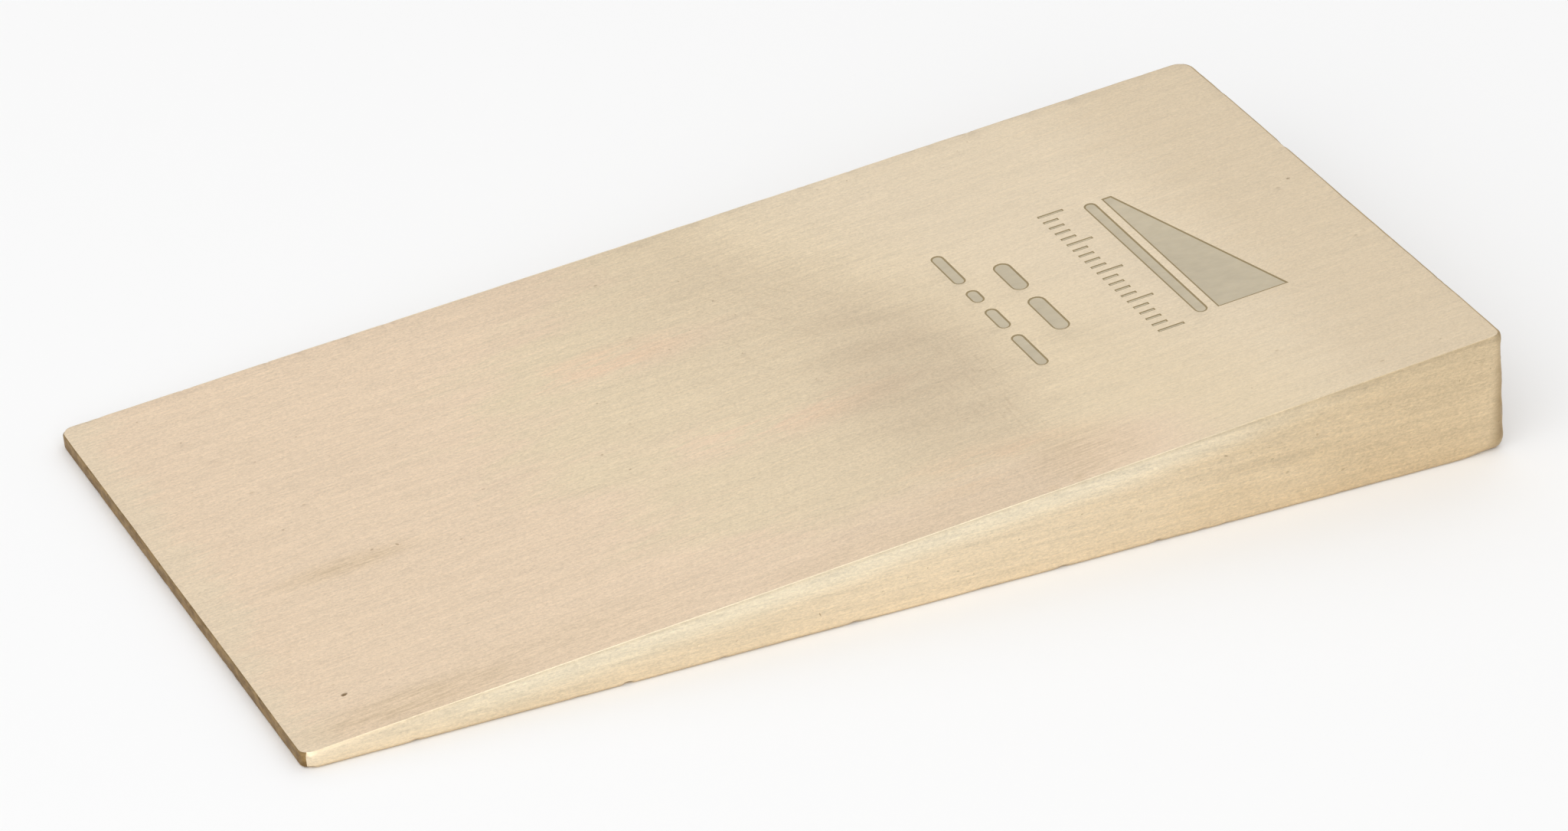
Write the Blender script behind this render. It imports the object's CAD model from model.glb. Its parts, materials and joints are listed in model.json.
"""A solid taper wedge of pale aluminium bronze, lying on its tapered side on a plain light floor.

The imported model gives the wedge's size and planes. This script builds the finished skin around them:
hand-dressed corners, a shallow bevel on the near edge, small nicks and casting pits, a shallow etched
mark made of plain shapes, and a belt-ground metal finish.
"""

import json
import math

import bpy
import numpy as np
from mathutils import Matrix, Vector
from mathutils.geometry import delaunay_2d_cdt


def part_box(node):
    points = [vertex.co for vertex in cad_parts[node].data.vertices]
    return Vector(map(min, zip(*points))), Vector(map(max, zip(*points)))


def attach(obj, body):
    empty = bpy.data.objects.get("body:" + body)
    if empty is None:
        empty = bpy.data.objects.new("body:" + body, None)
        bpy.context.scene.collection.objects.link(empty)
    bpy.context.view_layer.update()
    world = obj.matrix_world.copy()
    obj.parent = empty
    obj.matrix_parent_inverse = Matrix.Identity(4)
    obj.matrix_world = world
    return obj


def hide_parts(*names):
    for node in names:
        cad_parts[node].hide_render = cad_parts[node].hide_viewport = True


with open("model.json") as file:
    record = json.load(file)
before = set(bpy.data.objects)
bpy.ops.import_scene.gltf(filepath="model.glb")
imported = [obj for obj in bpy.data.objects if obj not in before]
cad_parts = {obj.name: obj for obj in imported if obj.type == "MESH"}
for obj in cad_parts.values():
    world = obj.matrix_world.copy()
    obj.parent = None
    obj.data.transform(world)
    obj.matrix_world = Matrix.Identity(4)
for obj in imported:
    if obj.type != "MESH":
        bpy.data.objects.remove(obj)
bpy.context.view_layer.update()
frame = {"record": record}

MM = 0.001
TINY = 1e-6  # two places or angles closer than this count as one
QUARTER_TURN = math.pi / 2
UP = np.array([0.0, 0.0, 1.0])

# ---------------------------------------------------------------------------------------------------------
# The wedge's own directions. Work on the surface is in millimetres: u runs along the level face towards
# the struck end, v across it, and depth straight down from it.
# ---------------------------------------------------------------------------------------------------------

mounts = {mount["name"]: mount for mount in frame["record"]["mounts"]}
face_centre = np.array(mounts["level_face"]["pos_m"]) / MM
face_normal = np.array(mounts["level_face"]["axis"])
face_direction = np.array(mounts["struck_end"]["axis"])
struck_centre = np.array(mounts["struck_end"]["pos_m"]) / MM
cad_low, cad_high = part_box("wedge_body")
half_length = float((struck_centre - face_centre) @ face_direction)
half_width = (cad_high.y - cad_low.y) / MM / 2
taper_angle = math.acos(float(face_normal @ UP))


def thickness(u):
    """Thickness square to the level face, at a distance u along it."""
    return (face_centre[2] + face_direction[2] * u) / face_normal[2]


def place(u, v, depth):
    """Surface coordinates to the row frame, in metres. Takes numbers or arrays."""
    u, v, depth = (values[..., None] for values in np.broadcast_arrays(u, v, depth))
    across = np.array([0.0, 1.0, 0.0])
    point = face_centre + u * face_direction + v * across - depth * face_normal
    return point * MM


# ---------------------------------------------------------------------------------------------------------
# Outline seen from above
# ---------------------------------------------------------------------------------------------------------

EDGE_RADIUS = 0.38  # rounding between two faces
LEADING_EDGE_SHARE = 0.45  # the thin leading end is left crisper than the rest
THICKNESS_SHARE = 0.45  # a rounding takes no more of the local thickness than this
EDGE_STEP = 0.24  # spacing of points along the edges
CORNER_STEPS = 8
ROUNDING_ROWS = 6
DIRTY_NICK = 0.08  # a nick this deep is fully dirty
NICK_DARKNESS = 0.6  # how dark a fully dirty nick looks, where a dirty pit is 1
# (towards the struck end, towards the far side, radius), counterclockwise from the far struck corner.
# The four are dressed by hand, so no two are quite alike.
CORNERS = [(1, 1, 1.40), (-1, 1, 1.10), (-1, -1, 1.05), (1, -1, 0.95)]
MOST_INSET = 0.85  # a rounding eats no further into a face than this, so no corner folds over
# A shallow curved bevel brings the near upper edge to where the photograph shows it. It is a reading: a
# different optical centre of the camera would explain the edge's place as well.
BEVEL_INSET = 0.24
BEVEL_DROP = 1.2
BEVEL_THICKNESS_SHARE = 0.5  # the bevel takes no more of the local thickness than this
BEVEL_LIP = 0.05  # the tiny break left between the bevel and the level face
BEVEL_LIP_WEAR = 0.6


def outline():
    """Points round the bar, their outward directions, and the distance run so far, counterclockwise."""
    points, outward = [], []
    corner_ends = []
    for index, (side_u, side_v, radius) in enumerate(CORNERS):
        centre = np.array([side_u * (half_length - radius), side_v * (half_width - radius)])
        angles = (index + np.linspace(0, 1, CORNER_STEPS + 1)) * QUARTER_TURN
        directions = np.stack([np.cos(angles), np.sin(angles)], axis=1)
        corner_ends.append((centre + radius * directions, directions))
    for index, (arc, directions) in enumerate(corner_ends):
        points.extend(arc)
        outward.extend(directions)
        following = corner_ends[(index + 1) % 4][0][0]
        run = following - arc[-1]
        count = round(float(np.linalg.norm(run)) / EDGE_STEP)
        for step in range(1, count):
            points.append(arc[-1] + run * step / count)
            outward.append(directions[-1])
    points = np.array(points)
    gaps = np.linalg.norm(np.roll(points, -1, axis=0) - points, axis=1)
    run_so_far = np.concatenate([[0.0], np.cumsum(gaps)])
    return points, np.array(outward), run_so_far


rim, rim_outward, rim_run = outline()
rim_count = len(rim)


# ---------------------------------------------------------------------------------------------------------
# Smooth seeded noise along the edges, and the nicks
# ---------------------------------------------------------------------------------------------------------

random = np.random.default_rng(20)


def wander(spacing, amount):
    """A closed smooth random line round the outline: one knot every spacing millimetres."""
    total = rim_run[-1]
    knots = max(4, round(total / spacing))
    values = random.uniform(-amount, amount, knots)
    position = rim_run[:-1] / total * knots
    low = np.floor(position).astype(int) % knots
    share = position - np.floor(position)
    ease = share * share * (3 - 2 * share)
    return values[low] * (1 - ease) + values[(low + 1) % knots] * ease


def rim_position(u, v):
    """Distance round the outline of the point nearest to (u, v)."""
    nearest = np.argmin(np.sum((rim - np.array([u, v])) ** 2, axis=1))
    return rim_run[nearest]


def dent(centre, half_length_mm, depth):
    """Depth of one nick at every point of the outline."""
    total = rim_run[-1]
    away = np.abs(rim_run[:-1] - centre)
    away = np.minimum(away, total - away) / half_length_mm
    return depth * np.exp(-(away**2) * 2)


def edge_nicks(count, deepest, placed):
    """Many small random nicks round an edge, and the few placed ones: (u, v, half length, depth)."""
    depth = np.zeros(rim_count)
    for centre, half, most in zip(
        random.uniform(0, rim_run[-1], count),
        random.uniform(0.12, 0.6, count),
        random.uniform(0.2, 1.0, count) ** 3 * deepest,
    ):
        depth = np.maximum(depth, dent(centre, half, most))
    for u, v, half, most in placed:
        depth = np.maximum(depth, dent(rim_position(u, v), half, most))
    return depth


UPPER_NICKS = [
    (-28.5, -half_width, 0.28, 0.05),
    (-7.8, -half_width, 0.22, 0.04),
    (1.8, -half_width, 0.30, 0.06),
    (11.1, -half_width, 0.34, 0.05),
    (13.5, -half_width, 0.30, 0.05),
    (47.5, -half_width, 0.8, 0.06),
    (-49.8, -24.6, 0.5, 0.08),
    (-50.0, -16.5, 0.4, 0.06),
    (-50.0, -6.0, 0.5, 0.07),
    (-50.0, 3.5, 0.3, 0.06),
    (-50.0, 12.0, 0.4, 0.06),
    (-49.8, 24.6, 0.5, 0.09),
    (50.0, 9.0, 0.8, 0.10),
]
LOWER_NICKS = [
    (-24.6, -half_width, 0.40, 0.18),
    (11.0, -half_width, 0.5, 0.08),
    (-49.6, -24.8, 0.5, 0.10),
    (-50.0, -11.0, 0.4, 0.07),
    (-50.0, 2.0, 0.5, 0.08),
    (-50.0, 17.0, 0.6, 0.07),
    (50.0, -14.0, 0.9, 0.16),
]

nick_depth = {
    "upper": edge_nicks(110, 0.05, UPPER_NICKS),
    "lower": edge_nicks(90, 0.08, LOWER_NICKS),
}


def near_point(u, v, reach):
    """1 on the outline at its point nearest to (u, v), fading to 0 over about twice the reach."""
    return dent(rim_position(u, v), reach, 1.0)


# The two struck corners are beaten rounder underneath, the near one most of all.
beaten = 0.95 * near_point(half_length, -half_width, 3.2) + 0.5 * near_point(half_length, half_width, 2.6)
leading = np.clip(-rim_outward[:, 0], 0, 1) ** 2
crispness = 1 - (1 - LEADING_EDGE_SHARE) * leading
near_side = np.clip(-rim_outward[:, 1], 0, 1) ** 2
edge_radius = {
    "upper": EDGE_RADIUS * crispness * (0.62 + wander(7, 0.10) + wander(1.4, 0.05)),
    "lower": EDGE_RADIUS * crispness * (1.0 + wander(9, 0.12) + wander(1.6, 0.08)) + beaten,
}


# ---------------------------------------------------------------------------------------------------------
# Mesh under construction
# ---------------------------------------------------------------------------------------------------------

FINISHES = ["level_face", "ground_side", "end_face", "etched_floor", "etched_rim"]
LEVEL, SIDE, END, MARK_FLOOR, MARK_RIM = range(len(FINISHES))


class Skin:
    """Vertices, faces and the two values that the finishes read: edge wear and dirt in a pit."""

    def __init__(self):
        self.points = []
        self.wear = []
        self.pit = []
        self.faces = []
        self.finish = []

    def add_points(self, points, wear=0.0, pit=0.0):
        """Adds points in the row frame and returns their numbers."""
        first = len(self.points)
        count = len(points)
        self.points.extend(points)
        self.wear.extend(np.broadcast_to(wear, count))
        self.pit.extend(np.broadcast_to(pit, count))
        return np.arange(first, first + count)

    def add_face(self, corners, finish):
        self.faces.append([int(corner) for corner in corners])
        self.finish.append(finish)

    def join_rings(self, lower, upper, finishes):
        """Quads between two rings with the same number of points, the upper ring on top."""
        count = len(lower)
        for step in range(count):
            after = (step + 1) % count
            self.add_face([lower[step], lower[after], upper[after], upper[step]], finishes[step])


skin = Skin()


def wall_finish(step):
    """The finish of the wall from one point of the outline to the next: end or side."""
    middle = rim_outward[step] + rim_outward[(step + 1) % rim_count]
    return END if abs(middle[0]) > abs(middle[1]) else SIDE


wall_finishes = [wall_finish(step) for step in range(rim_count)]


def bevel_row(turn, local):
    """Inset and drop of one row of the near bevel: a parabola from the wall, then the tiny break."""
    last_before_face = (ROUNDING_ROWS - 1) / ROUNDING_ROWS
    share = min(turn / QUARTER_TURN / last_before_face, 1.0)
    height = np.minimum(BEVEL_DROP, BEVEL_THICKNESS_SHARE * local)
    inset = BEVEL_INSET * share**2
    drop = BEVEL_LIP + (height - BEVEL_LIP) * (1 - share)
    on_face = turn > QUARTER_TURN * last_before_face + TINY
    return inset + (BEVEL_LIP if on_face else 0.0), drop


def nick_share(edge, turn):
    """How much of a nick a row takes. On the near bevel a nick stays close to the crisp upper line."""
    if edge == "lower":
        return np.ones(rim_count)
    return 1 - near_side * (1 - (turn / QUARTER_TURN) ** 4)


def rounding_row(edge, turn):
    """One row of a rounded edge. turn is 0 on the wall and a quarter circle on the face."""
    local = thickness(rim[:, 0])
    radius = np.minimum(edge_radius[edge], THICKNESS_SHARE * local)
    nick = nick_depth[edge] * nick_share(edge, turn) * (0.25 + 0.75 * math.sin(2 * turn))
    inset = np.minimum(radius, MOST_INSET) * (1 - math.cos(turn))
    drop = radius * (1 - math.sin(turn))
    if edge == "upper":
        bevel_inset, bevel_drop = bevel_row(turn, local)
        inset = inset + near_side * (bevel_inset - inset)
        drop = drop + near_side * (bevel_drop - drop)
    inset = inset + nick * math.cos(turn)
    drop = drop + nick * math.sin(turn)
    flat = rim - rim_outward * inset[:, None]
    depth = drop if edge == "upper" else thickness(flat[:, 0]) - drop
    return flat, depth


def rounding_rings(edge):
    """The rows of a rounded edge from its wall to its face: [(flat points, depths, numbers)]."""
    rings = []
    for row in range(ROUNDING_ROWS + 1):
        turn = row / ROUNDING_ROWS * QUARTER_TURN
        flat, depth = rounding_row(edge, turn)
        if row == ROUNDING_ROWS:  # the face itself stays flat
            depth = np.zeros(rim_count) if edge == "upper" else thickness(flat[:, 0])
        curve = math.sin(2 * turn)  # 0 where the rounding meets the wall and the face
        dirt = np.clip(nick_depth[edge] / DIRTY_NICK, 0, 1) * min(1.0, 1.6 * curve)
        dirt = dirt * nick_share(edge, turn)
        wear = curve
        if edge == "upper":  # the bevel is only worn along its crisp upper line
            bevel_wear = BEVEL_LIP_WEAR if row == ROUNDING_ROWS - 1 else 0.0
            wear = curve + near_side * (bevel_wear - curve)
        numbers = skin.add_points(
            place(flat[:, 0], flat[:, 1], depth), wear=wear * (1 - dirt), pit=NICK_DARKNESS * dirt
        )
        rings.append((flat, depth, numbers))
    return rings


upper_rings = rounding_rings("upper")
lower_rings = rounding_rings("lower")
for inner, outer in zip(upper_rings[:-1], upper_rings[1:]):
    skin.join_rings(inner[2], outer[2], wall_finishes)
for inner, outer in zip(lower_rings[:-1], lower_rings[1:]):
    skin.join_rings(outer[2], inner[2], wall_finishes)


# ---------------------------------------------------------------------------------------------------------
# Filling a flat region with triangles, around pits and marks
# ---------------------------------------------------------------------------------------------------------

CDT_INSIDE = 1  # mathutils: keep the triangles inside the given faces


class Region:
    """A flat region to be filled: its border, free points, and closed lines that hold a depth."""

    def __init__(self, border):
        self.points = [tuple(point) for point in border]
        self.border_count = len(border)
        self.edges = []
        self.depth = [0.0] * len(border)
        self.pit = [0.0] * len(border)
        self.level = [0] * len(border)  # 0 on the surface, 1 on a mark's floor

    def add_point(self, point, depth=0.0, pit=0.0, level=0):
        self.points.append(tuple(point))
        self.depth.append(depth)
        self.pit.append(pit)
        self.level.append(level)
        return len(self.points) - 1

    def add_loop(self, loop, depth=0.0, pit=0.0, level=0):
        numbers = [self.add_point(point, depth, pit, level) for point in loop]
        self.edges.extend(zip(numbers, numbers[1:] + numbers[:1]))

    def triangles(self):
        """Triangles as numbers of the given points. Every given point has to stay as it was given."""
        border_face = [list(range(self.border_count))]
        found = delaunay_2d_cdt(
            [Vector(point) for point in self.points], self.edges, border_face, CDT_INSIDE, TINY
        )
        origins = found[3]
        return [[origins[corner][0] for corner in face] for face in found[2]]


PIT_POINTS = 8
PIT_RING_SIZE = 0.55  # the lower ring's size, depth and dirt as shares of the whole pit's
PIT_RING_DEPTH = 0.8
PIT_RING_DIRT = 0.9
PIT_HALF_WIDTH = (0.06, 0.13)
PIT_TURN_SPREAD = 0.25
PIT_GAP = 0.12
GRID_GAP = 0.15


def ellipse(centre, half_long, half_short, turn):
    """Points of an ellipse, or of a long thin scratch."""
    angles = np.arange(PIT_POINTS) / PIT_POINTS * 2 * math.pi
    along, across = half_long * np.cos(angles), half_short * np.sin(angles)
    return np.stack(
        [
            centre[0] + along * math.cos(turn) - across * math.sin(turn),
            centre[1] + along * math.sin(turn) + across * math.cos(turn),
        ],
        axis=1,
    )


def add_pit(region, centre, half_long, half_short, turn, depth, dirt):
    """A pit with a rim, a lower ring and a bottom point."""
    region.add_loop(ellipse(centre, half_long, half_short, turn))
    ring = ellipse(centre, half_long * PIT_RING_SIZE, half_short * PIT_RING_SIZE, turn)
    region.add_loop(ring, depth * PIT_RING_DEPTH, dirt * PIT_RING_DIRT)
    region.add_point(centre, depth, dirt)


def far_enough(point, taken, gap):
    """Whether a point keeps the gap from every taken place, given as (x, y, reach)."""
    return all(math.hypot(point[0] - x, point[1] - y) > gap + reach for x, y, reach in taken)


def scatter_pits(region, spot, taken, count, size, depth, dirt, steep=0.0):
    """Seeded random pits: spot() gives a place, size is (smallest, largest) half length."""
    for _ in range(count):
        centre = spot()
        half_long = size[0] + (size[1] - size[0]) * random.random() ** 2.5
        half_short = min(half_long, random.uniform(*PIT_HALF_WIDTH))
        turn = random.normal(0, PIT_TURN_SPREAD)
        if random.random() < steep:
            turn += QUARTER_TURN
        deep = random.uniform(*depth)
        dark = random.uniform(*dirt)
        if far_enough(centre, taken, half_long + PIT_GAP):
            add_pit(region, centre, half_long, half_short, turn, deep, dark)
            taken.append((centre[0], centre[1], half_long))


def add_grid(region, spacing, inside, taken):
    """A jittered grid of free points, clear of pits and marks, wherever inside(x, y) is true."""
    border = np.array(region.points[: region.border_count])
    low, high = border.min(axis=0), border.max(axis=0)
    for x in np.arange(low[0] + spacing / 2, high[0], spacing):
        for y in np.arange(low[1] + spacing / 2, high[1], spacing):
            point = (x + random.uniform(-0.2, 0.2) * spacing, y + random.uniform(-0.2, 0.2) * spacing)
            if inside(*point) and far_enough(point, taken, GRID_GAP):
                region.add_point(point)


def fill(region, border_numbers, lift, finish_of):
    """Adds the region's triangles to the skin. lift(x, y, depth) gives the row-frame points."""
    triangles = region.triangles()
    free = slice(region.border_count, None)
    flat = np.array(region.points[free])
    numbers = np.concatenate(
        [
            border_numbers,
            skin.add_points(
                lift(flat[:, 0], flat[:, 1], np.array(region.depth[free])), pit=region.pit[free]
            ),
        ]
    )
    for triangle in triangles:
        skin.add_face(numbers[triangle], finish_of(triangle))


# ---------------------------------------------------------------------------------------------------------
# The etched mark: plain shapes only, read across the wedge with their tops towards the struck end
# ---------------------------------------------------------------------------------------------------------

ETCH_DEPTH = 0.035
ETCH_RIM = 0.15  # width of the darker line round a broad etched shape


def shrink(polygon, distance):
    """A convex polygon, counterclockwise, with every side moved in by distance."""
    polygon = np.array(polygon, float)
    shrunk = []
    for before, here, after in zip(np.roll(polygon, 1, axis=0), polygon, np.roll(polygon, -1, axis=0)):
        into = (here - before) / np.linalg.norm(here - before)
        out = (after - here) / np.linalg.norm(after - here)
        inward_into, inward_out = np.array([-into[1], into[0]]), np.array([-out[1], out[0]])
        shrunk.append(here + distance * (inward_into + inward_out) / (1 + inward_into @ inward_out))
    return shrunk


def box_shape(u_low, u_high, v_low, v_high):
    return [(u_low, v_low), (u_high, v_low), (u_high, v_high), (u_low, v_high)]


def rim_width(shape):
    """The darker line is thinner round a narrow shape."""
    size = np.ptp(np.array(shape), axis=0).min()
    return min(ETCH_RIM, 0.3 * size)


def round_bar(u_low, u_high, v_low, v_high):
    """A bar across the wedge with half-round ends."""
    radius = (u_high - u_low) / 2
    middle = (u_low + u_high) / 2
    shape = []
    for centre_v, start in ((v_high - radius, 0.0), (v_low + radius, math.pi)):
        for angle in start + np.linspace(0, math.pi, 9):
            shape.append((middle + radius * math.cos(angle), centre_v + radius * math.sin(angle)))
    return shape


def ticks(u_low, v_from, v_to, count):
    """A plain measuring scale: a row of ticks, every fifth one long."""
    shapes = []
    for number, v in enumerate(np.linspace(v_from, v_to, count)):
        height = 2.3 if number % 5 == 0 else 1.35
        shapes.append(box_shape(u_low, u_low + height, v - 0.16, v + 0.16))
    return shapes


def mark_shapes():
    """A taper over a bar, a scale of ticks, and two rows of plain bars."""
    taper = [(33.6, 9.6), (33.6, -9.4), (39.9, -9.4), (34.5, 9.6)]
    shapes = [taper[::-1], round_bar(31.8, 32.9, -9.4, 9.6)]
    shapes += ticks(28.0, 9.9, -9.9, 21)
    shapes += [round_bar(21.4, 22.9, 1.2, 5.6), round_bar(21.4, 22.9, -5.6, -0.2)]
    for low, high in ((4.6, 9.4), (1.4, 3.4), (-3.0, 0.2), (-9.2, -4.2)):
        shapes.append(round_bar(17.9, 19.0, low, high))
    return shapes


def clockwise(shape):
    shape = np.array(shape)
    after = np.roll(shape, -1, axis=0)
    return float(np.sum(shape[:, 0] * after[:, 1] - after[:, 0] * shape[:, 1])) < 0


def add_marks(region):
    for shape in mark_shapes():
        if clockwise(shape):
            shape = shape[::-1]
        region.add_loop(shape)
        region.add_loop(shrink(shape, rim_width(shape)), ETCH_DEPTH, level=1)


# ---------------------------------------------------------------------------------------------------------
# Level face, underside and walls
# ---------------------------------------------------------------------------------------------------------

MARK_ZONE = (17.0, 41.0, -11.0, 11.0)  # u and v limits of the part kept clear for the mark
PIT_MARGIN = 1.2  # random pits keep this far from a face's border
GRID_MARGIN = 0.9
WALL_PIT_MARGIN = 0.35
WALL_GRID_MARGIN = 0.3
LEVEL_SCATTER = {"count": 70, "size": (0.07, 0.28), "depth": (0.01, 0.03), "dirt": (0.10, 0.45)}
UNDER_SCATTER = {"count": 150, "size": (0.08, 0.45), "depth": (0.02, 0.06), "dirt": (0.2, 0.8)}
WALL_SCATTER = {
    "count": 190, "size": (0.07, 0.26), "depth": (0.012, 0.04), "dirt": (0.05, 0.5), "steep": 0.35
}


def in_mark_zone(u, v):
    return MARK_ZONE[0] < u < MARK_ZONE[1] and MARK_ZONE[2] < v < MARK_ZONE[3]


def anywhere():
    """A random place on the level face or the underside."""
    return (
        random.uniform(-half_length + PIT_MARGIN, half_length - PIT_MARGIN),
        random.uniform(-half_width + PIT_MARGIN, half_width - PIT_MARGIN),
    )


def on_face(u, v):
    return abs(u) < half_length - GRID_MARGIN and abs(v) < half_width - GRID_MARGIN


# Pits that catch the eye: (u, v, half length, half width, turn, depth)
LEVEL_PITS = [
    (-44.5, -19.5, 0.32, 0.20, 0.3, 0.07),
    (-33.7, -4.0, 0.20, 0.10, -1.0, 0.04),
    (-35.6, -3.6, 0.16, 0.09, 0.2, 0.03),
    (-40.3, 2.5, 0.12, 0.08, 0.0, 0.03),
    (-14.7, -4.6, 0.16, 0.08, 0.4, 0.03),
    (47.6, 4.0, 0.20, 0.12, 0.1, 0.04),
]


def fill_level_face():
    flat, _, numbers = upper_rings[-1]
    region = Region(flat)
    taken = []
    add_marks(region)
    for u, v, half_long, half_short, turn, depth in LEVEL_PITS:
        add_pit(region, (u, v), half_long, half_short, turn, depth, min(1.0, 14 * depth))
        taken.append((u, v, half_long))

    def spot():
        while True:
            point = anywhere()
            if not in_mark_zone(*point):
                return point

    scatter_pits(region, spot, taken, **LEVEL_SCATTER)
    add_grid(region, 1.1, lambda u, v: on_face(u, v) and not in_mark_zone(u, v), taken)

    def finish_of(triangle):
        on_surface = sum(region.level[corner] == 0 for corner in triangle)
        if on_surface == 3:
            return LEVEL
        return MARK_FLOOR if on_surface == 0 else MARK_RIM

    fill(region, numbers, place, finish_of)


def fill_underside():
    """Seen from below, so the border is taken the other way round."""
    flat, _, numbers = lower_rings[-1]
    region = Region(np.stack([flat[::-1, 0], -flat[::-1, 1]], axis=1))
    taken = []
    scatter_pits(region, anywhere, taken, **UNDER_SCATTER)
    add_grid(region, 1.3, on_face, taken)
    fill(
        region,
        numbers[::-1],
        lambda u, v, depth: place(u, -v, thickness(u) - depth),
        lambda triangle: SIDE,
    )


def wall_point(run, depth, sunk):
    """A point of the upright walls from its distance round the outline, its depth and how far it is sunk."""
    run = np.asarray(run) % rim_run[-1]
    flat = []
    for values in (rim, rim_outward):
        closed = np.vstack([values, values[:1]])
        flat.append(np.stack([np.interp(run, rim_run, closed[:, axis]) for axis in (0, 1)], axis=1))
    point = flat[0] - flat[1] * np.asarray(sunk)[:, None]
    return place(point[:, 0], point[:, 1], depth)


def fill_walls():
    """The four walls, unrolled into one strip: distance round the outline, and height above the lowest."""
    upper_depth, upper_numbers = upper_rings[0][1], upper_rings[0][2]
    lower_depth, lower_numbers = lower_rings[0][1], lower_rings[0][2]
    total = rim_run[-1]
    run = np.append(rim_run[:-1], total)
    upper = np.append(upper_depth, upper_depth[0])
    lower = np.append(lower_depth, lower_depth[0])
    seam_depths = np.linspace(upper[0], lower[0], 12)[1:-1]
    seam_numbers = skin.add_points(
        wall_point(np.zeros(len(seam_depths)), seam_depths, np.zeros(len(seam_depths)))
    )
    border = (
        [(x, -depth) for x, depth in zip(run, lower)]
        + [(total, -depth) for depth in seam_depths[::-1]]
        + [(x, -depth) for x, depth in zip(run[::-1], upper[::-1])]
        + [(0.0, -depth) for depth in seam_depths]
    )
    numbers = np.concatenate(
        [
            np.append(lower_numbers, lower_numbers[0]),
            seam_numbers[::-1],
            np.append(upper_numbers, upper_numbers[0])[::-1],
            seam_numbers,
        ]
    )
    region = Region(border)
    taken = []

    def room(x, y, margin):
        top = -np.interp(x, run, upper)
        bottom = -np.interp(x, run, lower)
        return bottom + margin < y < top - margin and margin < x < total - margin

    def spot():
        while True:
            x = random.uniform(0.5, total - 0.5)
            y = random.uniform(-lower.max(), 0)
            if room(x, y, WALL_PIT_MARGIN):
                return x, y

    scatter_pits(region, spot, taken, **WALL_SCATTER)
    add_grid(region, 0.75, lambda x, y: room(x, y, WALL_GRID_MARGIN), taken)

    def finish_of(triangle):
        x = np.mean([region.points[corner][0] for corner in triangle])
        step = int(np.searchsorted(rim_run, x, side="right")) - 1
        return wall_finishes[min(step, rim_count - 1)]

    fill(region, numbers, lambda x, y, sunk: wall_point(x, -y, sunk), finish_of)


fill_level_face()
fill_underside()
fill_walls()


# ---------------------------------------------------------------------------------------------------------
# Finishes
# ---------------------------------------------------------------------------------------------------------


class Finish:
    """A material and short calls for the nodes that it is made of."""

    def __init__(self, name):
        self.material = bpy.data.materials.new(name)
        self.material.use_nodes = True
        self.tree = self.material.node_tree
        self.shader = self.tree.nodes["Principled BSDF"]
        self.object_place = self.tree.nodes.new("ShaderNodeTexCoord").outputs["Object"]

    def node(self, kind, inputs=(), **settings):
        made = self.tree.nodes.new(kind)
        for key, value in settings.items():
            setattr(made, key, value)
        for key, value in dict(inputs).items():
            self.set(made.inputs[key], value)
        return made

    def set(self, socket, value):
        if isinstance(value, bpy.types.NodeSocket):
            self.tree.links.new(value, socket)
        else:
            socket.default_value = value

    def math(self, operation, first, second=0.0, third=0.0):
        made = self.node("ShaderNodeMath", {0: first, 1: second, 2: third}, operation=operation)
        return made.outputs[0]

    def attribute(self, name):
        return self.node("ShaderNodeAttribute", attribute_name=name).outputs["Fac"]

    def stretched(self, turn, periods, start=(0, 0, 0)):
        """Object coordinates, turned by turn (x, y, z) and then stretched. periods is in millimetres."""
        turned = self.node("ShaderNodeMapping", {"Vector": self.object_place, "Rotation": turn})
        scale = [1 / (MM * period) for period in periods]
        made = self.node(
            "ShaderNodeMapping", {"Vector": turned.outputs[0], "Scale": scale, "Location": start}
        )
        return made.outputs[0]

    def noise(self, vector, detail=2.0, roughness=0.55):
        made = self.node(
            "ShaderNodeTexNoise",
            {"Vector": vector, "Scale": 1.0, "Detail": detail, "Roughness": roughness},
        )
        return made.outputs["Fac"]

    def between(self, value, low, high, out_low=0.0, out_high=1.0):
        """Smooth step from out_low at low to out_high at high."""
        made = self.node(
            "ShaderNodeMapRange",
            {"Value": value, "From Min": low, "From Max": high, "To Min": out_low, "To Max": out_high},
            interpolation_type="SMOOTHSTEP",
        )
        return made.outputs[0]

    def mix(self, share, first, second, blend="MIX"):
        made = self.node("ShaderNodeMix", data_type="RGBA", blend_type=blend)
        for socket, value in ((0, share), (6, first), (7, second)):
            self.set(made.inputs[socket], value)
        return made.outputs[2]

    def metres(self, axis):
        """A place's X, Y or Z in the row frame."""
        return self.node("ShaderNodeSeparateXYZ", {0: self.object_place}).outputs[axis]

    def millimetres(self, axis):
        return self.math("DIVIDE", self.metres(axis), MM)

    def spot(self, centre, size, turn=0.0):
        """1 at a place on the wedge (u, v in millimetres) and 0 outside a soft ellipse of that size."""
        middle = place(centre[0], centre[1], 0.0)
        moved = self.node("ShaderNodeVectorMath", {0: self.object_place, 1: middle}, operation="SUBTRACT")
        turned = self.node("ShaderNodeMapping", {"Vector": moved.outputs[0], "Rotation": (0, 0, turn)})
        shape = self.node(
            "ShaderNodeVectorMath",
            {0: turned.outputs[0], 1: (1 / (MM * size[0]), 1 / (MM * size[1]), 0)},
            operation="MULTIPLY",
        )
        length = self.node("ShaderNodeVectorMath", {0: shape.outputs[0]}, operation="LENGTH")
        return self.between(length.outputs["Value"], 1.0, 0.15)


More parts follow.
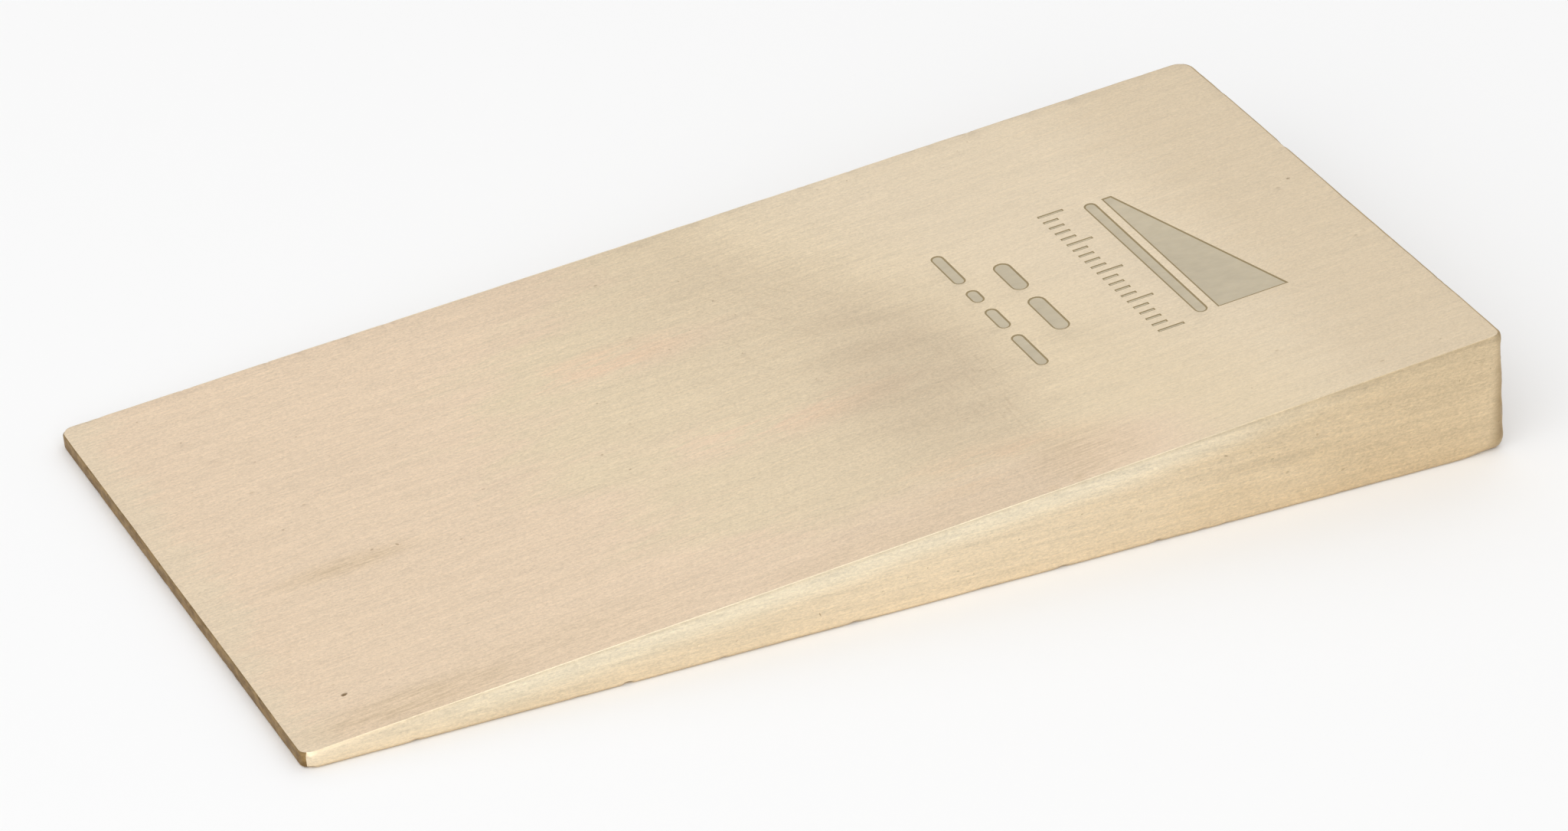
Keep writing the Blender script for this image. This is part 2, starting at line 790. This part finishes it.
def srgb(red, green, blue):
    """A colour given in sRGB steps of 0 to 255, as the linear colour that nodes take."""
    linear = []
    for step in (red, green, blue):
        share = step / 255
        linear.append(share / 12.92 if share <= 0.04045 else ((share + 0.055) / 1.055) ** 2.4)
    return (*linear, 1.0)


# The bronze: rose where the last grinding pass was warm, straw-coloured elsewhere, cooler towards the
# struck end, smoky where a hand has rubbed it, and brown in pits.
ROSE = srgb(231, 210, 184)
PINK = srgb(236, 208, 178)
STRAW = srgb(228, 211, 182)
COOL = srgb(228, 212, 186)
DULL = srgb(221, 204, 177)
SMOKE = srgb(205, 187, 161)
SMUDGE = srgb(204, 181, 147)
SCUFF = srgb(190, 170, 143)
EDGE = srgb(208, 186, 146)
SIDE_BRIGHT = srgb(238, 220, 190)
SIDE_CREAM = srgb(250, 238, 211)
SIDE_BROWN = srgb(221, 200, 165)
CORNER_BROWN = srgb(160, 136, 100)
DIRT = srgb(132, 109, 76)
END_DARK = srgb(131, 104, 65)
END_LIGHT = srgb(163, 135, 91)
ETCHED = srgb(206, 195, 172)
ETCHED_LINE = srgb(168, 151, 116)

LEVEL_TURN = (0.0, taper_angle, 0.0)  # lays the level face's own direction along X
PLAIN_TURN = (0.0, 0.0, 0.0)


def strokes(finish, turn, layers):
    """Grinding strokes along the turned X axis: one noise for each layer of (length, width, detail, slant).

    Length and width are in millimetres, and slant is in degrees off the axis.
    """
    made = []
    for number, (length, width, detail, slant) in enumerate(layers):
        start = (3.1 * number, 7.7 * number, 1.9 * number)
        slanted = (turn[0], turn[1], turn[2] + math.radians(slant))
        vector = finish.stretched(slanted, (length, width, width), start)
        made.append(finish.noise(vector, detail, 0.75))
    return made


def flecks(finish, turn, length, width, bright, dark):
    """Sparse short scratches with hard edges: bright and dark say how strong. About 0."""
    value = finish.noise(finish.stretched(turn, (length, width, width), (11.3, 5.1, 2.7)), 3.0, 0.7)
    lit = finish.math("MULTIPLY", finish.between(value, 0.62, 0.70), bright)
    return finish.math("MULTIPLY_ADD", finish.between(value, 0.38, 0.30), -dark, lit)


def weigh(finish, parts):
    """The sum of share x (value - 0.5) over [(value, share)], about 0."""
    total = 0.0
    for value, share in parts:
        total = finish.math("MULTIPLY_ADD", value, share, total)
    return finish.math("SUBTRACT", total, 0.5 * sum(share for _, share in parts))


def add_bump(finish, height, distance, strength):
    bump = finish.node("ShaderNodeBump", {"Height": height, "Distance": distance * MM, "Strength": strength})
    finish.set(finish.shader.inputs["Normal"], bump.outputs[0])


def metal(finish, colour, roughness):
    shader = finish.shader
    shader.inputs["Metallic"].default_value = 1.0
    finish.set(shader.inputs["Base Color"], colour)
    finish.set(shader.inputs["Roughness"], roughness)
    return finish.material


def shaded(finish, colour, amount):
    """A colour made darker or lighter by a value about 0."""
    level = finish.math("ADD", amount, 1.0)
    grey = finish.node("ShaderNodeCombineXYZ", {0: level, 1: level, 2: level}).outputs[0]
    return finish.mix(1.0, colour, grey, "MULTIPLY")


def weathered(finish, colour, wear_share):
    """Turns worn edges golden and darkens pits."""
    wear = finish.math("MULTIPLY", finish.attribute("wear"), wear_share)
    worn = finish.mix(wear, colour, EDGE)
    return finish.mix(finish.attribute("pit"), worn, DIRT)


def most(finish, values):
    """The largest of some values."""
    largest = values[0]
    for value in values[1:]:
        largest = finish.math("MAXIMUM", largest, value)
    return largest


def depth_below_level(finish):
    """How far a point lies below the level face, in millimetres."""
    height = finish.node(
        "ShaderNodeVectorMath", {0: finish.object_place, 1: face_normal}, operation="DOT_PRODUCT"
    )
    return finish.math("MULTIPLY_ADD", height.outputs["Value"], -1 / MM, float(face_centre @ face_normal))


def rose_share(finish, along, across, feather):
    """The rose ground, which ends in a bow that reaches furthest along the two long edges."""
    bow = finish.math("POWER", finish.math("ABSOLUTE", finish.math("SUBTRACT", across, 1.0)), 2.0)
    reach = finish.math("SUBTRACT", finish.math("MULTIPLY_ADD", bow, 0.033, -22.0), along)
    ground = finish.between(finish.math("MULTIPLY_ADD", feather, 26.0, reach), -7.0, 7.0)
    near_edge = finish.between(finish.math("MULTIPLY_ADD", feather, 5.0, across), -17.0, -22.5)
    near_edge = finish.math("MULTIPLY", near_edge, finish.between(along, 27.0, 19.0))
    fingers = most(finish, [finish.spot((-9, 9.5), (15, 3.2)), finish.spot((-3, -4.6), (18, 4.6), -0.03)])
    fingers = finish.math("MULTIPLY", fingers, finish.between(feather, -0.16, 0.08))
    return most(finish, [ground, near_edge, fingers])


def pink_share(finish, feather):
    """A few warmer patches in the rose."""
    pink_places = [
        finish.spot((1, -4.4), (14, 3.6)),
        finish.spot((-10, 10), (10, 3)),
        finish.spot((9, -19), (13, 4)),
    ]
    return finish.math("MULTIPLY", most(finish, pink_places), finish.between(feather, -0.14, 0.14))


def straw_colour(finish, along, across, feather):
    """Straw, cooler and then duller towards the struck end."""
    cool = finish.between(finish.math("MULTIPLY_ADD", across, 0.6, along), 14.0, 30.0)
    dull = finish.between(finish.math("MULTIPLY_ADD", feather, 8.0, along), 32.0, 42.0)
    return finish.mix(dull, finish.mix(cool, STRAW, COOL), DULL)


def smoke_share(finish, along, across, feather):
    """The smoky band: a sharp bowed side towards the struck end, a long fade, and a darker core."""
    bend = finish.math("POWER", finish.math("ABSOLUTE", finish.math("ADD", across, 10.0)), 2.0)
    past = finish.math("SUBTRACT", along, finish.math("MULTIPLY_ADD", bend, -0.011, 15.2))
    past = finish.math("MULTIPLY_ADD", feather, 9.0, past)
    band = finish.math("MULTIPLY", finish.between(past, 2.5, -3.5), finish.between(past, -30.0, -3.0))
    core = finish.math("MULTIPLY", finish.spot((9.8, -3.5), (11, 17), 0.10), 0.52)
    smoke = finish.math("MULTIPLY_ADD", band, 0.42, core)
    return finish.math("MULTIPLY", smoke, finish.between(feather, -0.26, 0.18, 0.65, 1.0))


def smudge_share(finish, stroke):
    """Brown smudges, most of them along the near edge."""
    smudge = most(
        finish,
        [
            finish.spot((-38, -4.4), (8, 1.7)),
            finish.spot((-40, -23.2), (14, 3.0)),
            finish.math("MULTIPLY", finish.spot((-28, -22.5), (18, 4.5)), 0.35),
            finish.math("MULTIPLY", finish.spot((15.5, -21.5), (7, 6)), 0.80),
            finish.math("MULTIPLY", finish.spot((-2, -23.8), (18, 2.4)), 0.35),
            finish.spot((13.4, -24.2), (1.1, 0.9)),
            finish.spot((11.1, -24.4), (0.9, 0.7)),
        ],
    )
    return finish.math("MULTIPLY", smudge, finish.between(stroke, 0.58, 0.40, 0.35, 0.95))


def level_face_colour(finish, stroke):
    """The level face's colour, and the share of smoke in it."""
    along = finish.millimetres("X")
    across = finish.millimetres("Y")
    cloud = finish.noise(finish.stretched(LEVEL_TURN, (14, 4.5, 4.5)), 3.0, 0.6)
    feather = weigh(finish, [(stroke, 0.7), (cloud, 1.3)])
    rose = rose_share(finish, along, across, feather)
    colour = finish.mix(rose, straw_colour(finish, along, across, feather), ROSE)
    tip = finish.between(finish.math("MULTIPLY_ADD", feather, 8.0, along), -46.0, -49.5)
    smoke = smoke_share(finish, along, across, feather)
    for share, strength, tint in (
        (tip, 0.70, COOL),
        (pink_share(finish, feather), 0.75, PINK),
        (smoke, 0.90, SMOKE),
        (smudge_share(finish, stroke), 0.60, SMUDGE),
    ):
        colour = finish.mix(finish.math("MULTIPLY", share, strength), colour, tint)
    return colour, smoke


LEVEL_STROKES = [(0.24, 0.15, 3.0, 4.0), (3.0, 0.21, 4.0, -2.5), (9.0, 0.8, 2.0, 1.0)]
SIDE_STROKES = [(0.30, 0.13, 3.0, 0.0), (3.2, 0.19, 4.0, 0.0), (14.0, 0.7, 2.0, 0.0)]
END_STROKES = [(0.5, 0.20, 3.0, 0.0), (3.0, 0.34, 2.0, 0.0)]
ETCHED_STROKES = [(0.4, 0.3, 3.0, 0.0), (1.6, 0.8, 2.0, 20.0)]


def level_face_finish():
    finish = Finish("level_face")
    fleck, stroke, line = strokes(finish, LEVEL_TURN, LEVEL_STROKES)
    colour, smoke = level_face_colour(finish, stroke)
    # Scratches that cross the grain inside the smoky band: one set slanted, one straight across.
    slanted = finish.noise(finish.stretched((0, taper_angle, math.radians(56)), (2.6, 0.26, 0.26)), 3.0, 0.7)
    straight = finish.noise(finish.stretched((0, taper_angle, math.radians(93)), (3.2, 0.26, 0.26)), 3.0, 0.7)
    crossed = most(
        finish,
        [
            finish.math("MULTIPLY", finish.between(slanted, 0.54, 0.70), finish.spot((2, 9), (11, 18), 0.6)),
            finish.math("MULTIPLY", finish.between(straight, 0.52, 0.68), finish.spot((13.5, -9), (5, 18))),
            finish.math("MULTIPLY", finish.between(slanted, 0.58, 0.72), smoke),
        ],
    )
    relief = weigh(finish, [(fleck, 0.60), (stroke, 0.44), (line, 0.14)])
    relief = finish.math("ADD", relief, flecks(finish, LEVEL_TURN, 1.3, 0.15, 0.05, 0.07))
    calm = finish.between(finish.metres("X"), 0.008, 0.024, 1.0, 0.75)  # less grain at the struck end
    relief = finish.math("MULTIPLY", relief, calm)
    colour = shaded(finish, colour, relief)
    colour = finish.mix(finish.math("MULTIPLY", crossed, 0.28), colour, SCUFF)
    colour = weathered(finish, colour, 0.55)
    add_bump(finish, finish.math("SUBTRACT", relief, finish.math("MULTIPLY", crossed, 0.1)), 0.05, 0.35)
    return metal(finish, colour, finish.between(stroke, 0.3, 0.7, 0.42, 0.52))


def ground_side_finish():
    """Fresh belt strokes along the wedge, brown towards the struck end."""
    finish = Finish("ground_side")
    fleck, stroke, line = strokes(finish, PLAIN_TURN, SIDE_STROKES)
    along = finish.millimetres("X")
    cloud = finish.noise(finish.stretched(PLAIN_TURN, (8, 2.2, 2.2)), 3.0)
    drift = weigh(finish, [(cloud, 18.0), (stroke, 12.0)])
    brown = finish.between(finish.math("ADD", along, drift), 3.0, 48.0)
    colour = finish.mix(brown, SIDE_BRIGHT, SIDE_BROWN)
    cream = finish.between(finish.math("MULTIPLY_ADD", drift, 0.03, depth_below_level(finish)), 2.4, 0.7)
    cream = finish.math("MULTIPLY", cream, finish.between(along, 38.0, 14.0))
    cream = finish.math("MULTIPLY", cream, finish.between(along, -46.0, -30.0, 0.1, 1.0))
    colour = finish.mix(finish.math("MULTIPLY", cream, 0.70), colour, SIDE_CREAM)
    relief = weigh(finish, [(fleck, 0.60), (stroke, 0.42), (line, 0.32)])
    relief = finish.math("ADD", relief, flecks(finish, PLAIN_TURN, 1.4, 0.14, 0.10, 0.10))
    relief = finish.math("ADD", relief, flecks(finish, PLAIN_TURN, 5.0, 0.17, 0.07, 0.06))
    mottle = finish.noise(finish.stretched((0, 0.5, 0), (0.55, 0.26, 0.26)), 4.0, 0.7)
    mottle = finish.math("MULTIPLY", weigh(finish, [(mottle, 0.34)]), finish.between(along, 12.0, 38.0))
    relief = finish.math("ADD", relief, mottle)
    colour = shaded(finish, colour, relief)
    corner = finish.between(finish.math("MULTIPLY_ADD", drift, 0.02, along), 48.2, 49.7)
    colour = finish.mix(finish.math("MULTIPLY", corner, 0.85), colour, CORNER_BROWN)
    colour = weathered(finish, colour, 0.55)
    add_bump(finish, relief, 0.05, 0.4)
    return metal(finish, colour, finish.between(stroke, 0.3, 0.7, 0.40, 0.52))


def end_face_finish():
    """Sawn and filed across the width, browner than the ground faces, darkest at the leading end."""
    finish = Finish("end_face")
    quarter = (0, 0, QUARTER_TURN)
    fleck, stroke = strokes(finish, quarter, END_STROKES)
    blotch = finish.noise(finish.stretched(PLAIN_TURN, (1.2, 1.2, 0.8)), 3.0, 0.65)
    colour = finish.mix(finish.between(blotch, 0.35, 0.65), END_DARK, END_LIGHT)
    struck = finish.between(finish.metres("X"), -0.02, 0.02)
    colour = finish.mix(finish.math("MULTIPLY", struck, 0.5), colour, SIDE_BROWN)
    relief = weigh(finish, [(fleck, 0.9), (stroke, 0.5)])
    colour = shaded(finish, colour, relief)
    colour = weathered(finish, colour, 0.30)
    add_bump(finish, finish.math("MULTIPLY_ADD", blotch, 0.2, relief), 0.05, 0.5)
    return metal(finish, colour, finish.between(stroke, 0.3, 0.7, 0.48, 0.60))


def etched_floor_finish():
    finish = Finish("etched_floor")
    fleck, stroke = strokes(finish, LEVEL_TURN, ETCHED_STROKES)
    blotch = finish.noise(finish.stretched(LEVEL_TURN, (3.5, 1.6, 1.6)), 3.0, 0.6)
    relief = weigh(finish, [(fleck, 0.22), (stroke, 0.16), (blotch, 0.22)])
    add_bump(finish, relief, 0.04, 0.3)
    return metal(finish, shaded(finish, ETCHED, relief), finish.between(fleck, 0.3, 0.7, 0.52, 0.64))


def etched_rim_finish():
    finish = Finish("etched_rim")
    fleck, stroke = strokes(finish, LEVEL_TURN, ETCHED_STROKES)
    relief = weigh(finish, [(fleck, 0.5), (stroke, 0.3)])
    return metal(finish, shaded(finish, ETCHED_LINE, relief), finish.between(fleck, 0.3, 0.7, 0.58, 0.72))


def build_wedge():
    mesh = bpy.data.meshes.new("wedge_skin")
    mesh.from_pydata([tuple(point) for point in skin.points], [], skin.faces)
    for name, values in (("wear", skin.wear), ("pit", skin.pit)):
        made = mesh.attributes.new(name, "FLOAT", "POINT")
        made.data.foreach_set("value", np.array(values, np.float32))
    for material in (
        level_face_finish(),
        ground_side_finish(),
        end_face_finish(),
        etched_floor_finish(),
        etched_rim_finish(),
    ):
        mesh.materials.append(material)
    mesh.polygons.foreach_set("material_index", np.array(skin.finish, np.int32))
    mesh.polygons.foreach_set("use_smooth", np.ones(len(skin.faces), bool))
    mesh.set_sharp_from_angle(angle=math.radians(20))
    mesh.validate()
    wedge = bpy.data.objects.new("wedge_skin", mesh)
    bpy.context.scene.collection.objects.link(wedge)
    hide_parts("wedge_body")
    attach(wedge, "root")
    return wedge


build_wedge()


# ---------------------------------------------------------------------------------------------------------
# Floor, light and camera
# ---------------------------------------------------------------------------------------------------------

FLOOR_SIZE = 6.0
FLOOR_GREY = 0.93
FLOOR_ROUGHNESS = 0.8
WORLD_STRENGTH = 0.58
# (name, direction, distance, size, power): metres and watts
PANELS = [
    ("back_panel", (0.30, 0.75, 0.85), 1.1, (1.3, 0.9), 2.15),
    ("front_fill", (-0.55, -0.8, 0.9), 1.4, (2.4, 1.6), 17),
]


def add_floor():
    bpy.ops.mesh.primitive_plane_add(size=FLOOR_SIZE, location=(0, 0, 0))
    floor = bpy.context.object
    floor.name = "floor"
    finish = Finish("floor_paint")
    finish.shader.inputs["Base Color"].default_value = (FLOOR_GREY, FLOOR_GREY, FLOOR_GREY, 1.0)
    finish.shader.inputs["Roughness"].default_value = FLOOR_ROUGHNESS
    floor.data.materials.append(finish.material)


def add_panel(name, direction, distance, size, power):
    """A soft rectangular lamp that looks at the wedge from a direction."""
    lamp = bpy.data.lights.new(name, "AREA")
    lamp.shape = "RECTANGLE"
    lamp.size, lamp.size_y = size
    lamp.energy = power
    panel = bpy.data.objects.new(name, lamp)
    towards = Vector(direction).normalized()
    panel.location = towards * distance
    panel.rotation_euler = towards.to_track_quat("Z", "Y").to_euler()
    bpy.context.scene.collection.objects.link(panel)


def add_world(strength):
    world = bpy.data.worlds.new("studio")
    world.use_nodes = True
    background = world.node_tree.nodes["Background"]
    background.inputs["Color"].default_value = (1.0, 1.0, 1.0, 1.0)
    background.inputs["Strength"].default_value = strength
    bpy.context.scene.world = world


CAMERA_AZIMUTH = math.radians(-26.04)
CAMERA_ELEVATION = math.radians(31.2)
CAMERA_PLACE = Vector((-177.4, -363.2, 247.6)) * MM
CAMERA_LENS = 140.4  # millimetres, on a 36 mm wide sensor


def add_camera():
    camera = bpy.data.objects.new("camera", bpy.data.cameras.new("camera"))
    camera.data.lens = CAMERA_LENS
    camera.data.sensor_width = 36
    camera.data.clip_start = 0.01
    camera.location = CAMERA_PLACE
    camera.rotation_euler = (QUARTER_TURN - CAMERA_ELEVATION, 0, CAMERA_AZIMUTH)
    bpy.context.scene.collection.objects.link(camera)
    bpy.context.scene.camera = camera


add_floor()
add_world(WORLD_STRENGTH)
for panel in PANELS:
    add_panel(*panel)
add_camera()
bpy.context.scene.view_settings.view_transform = "Standard"
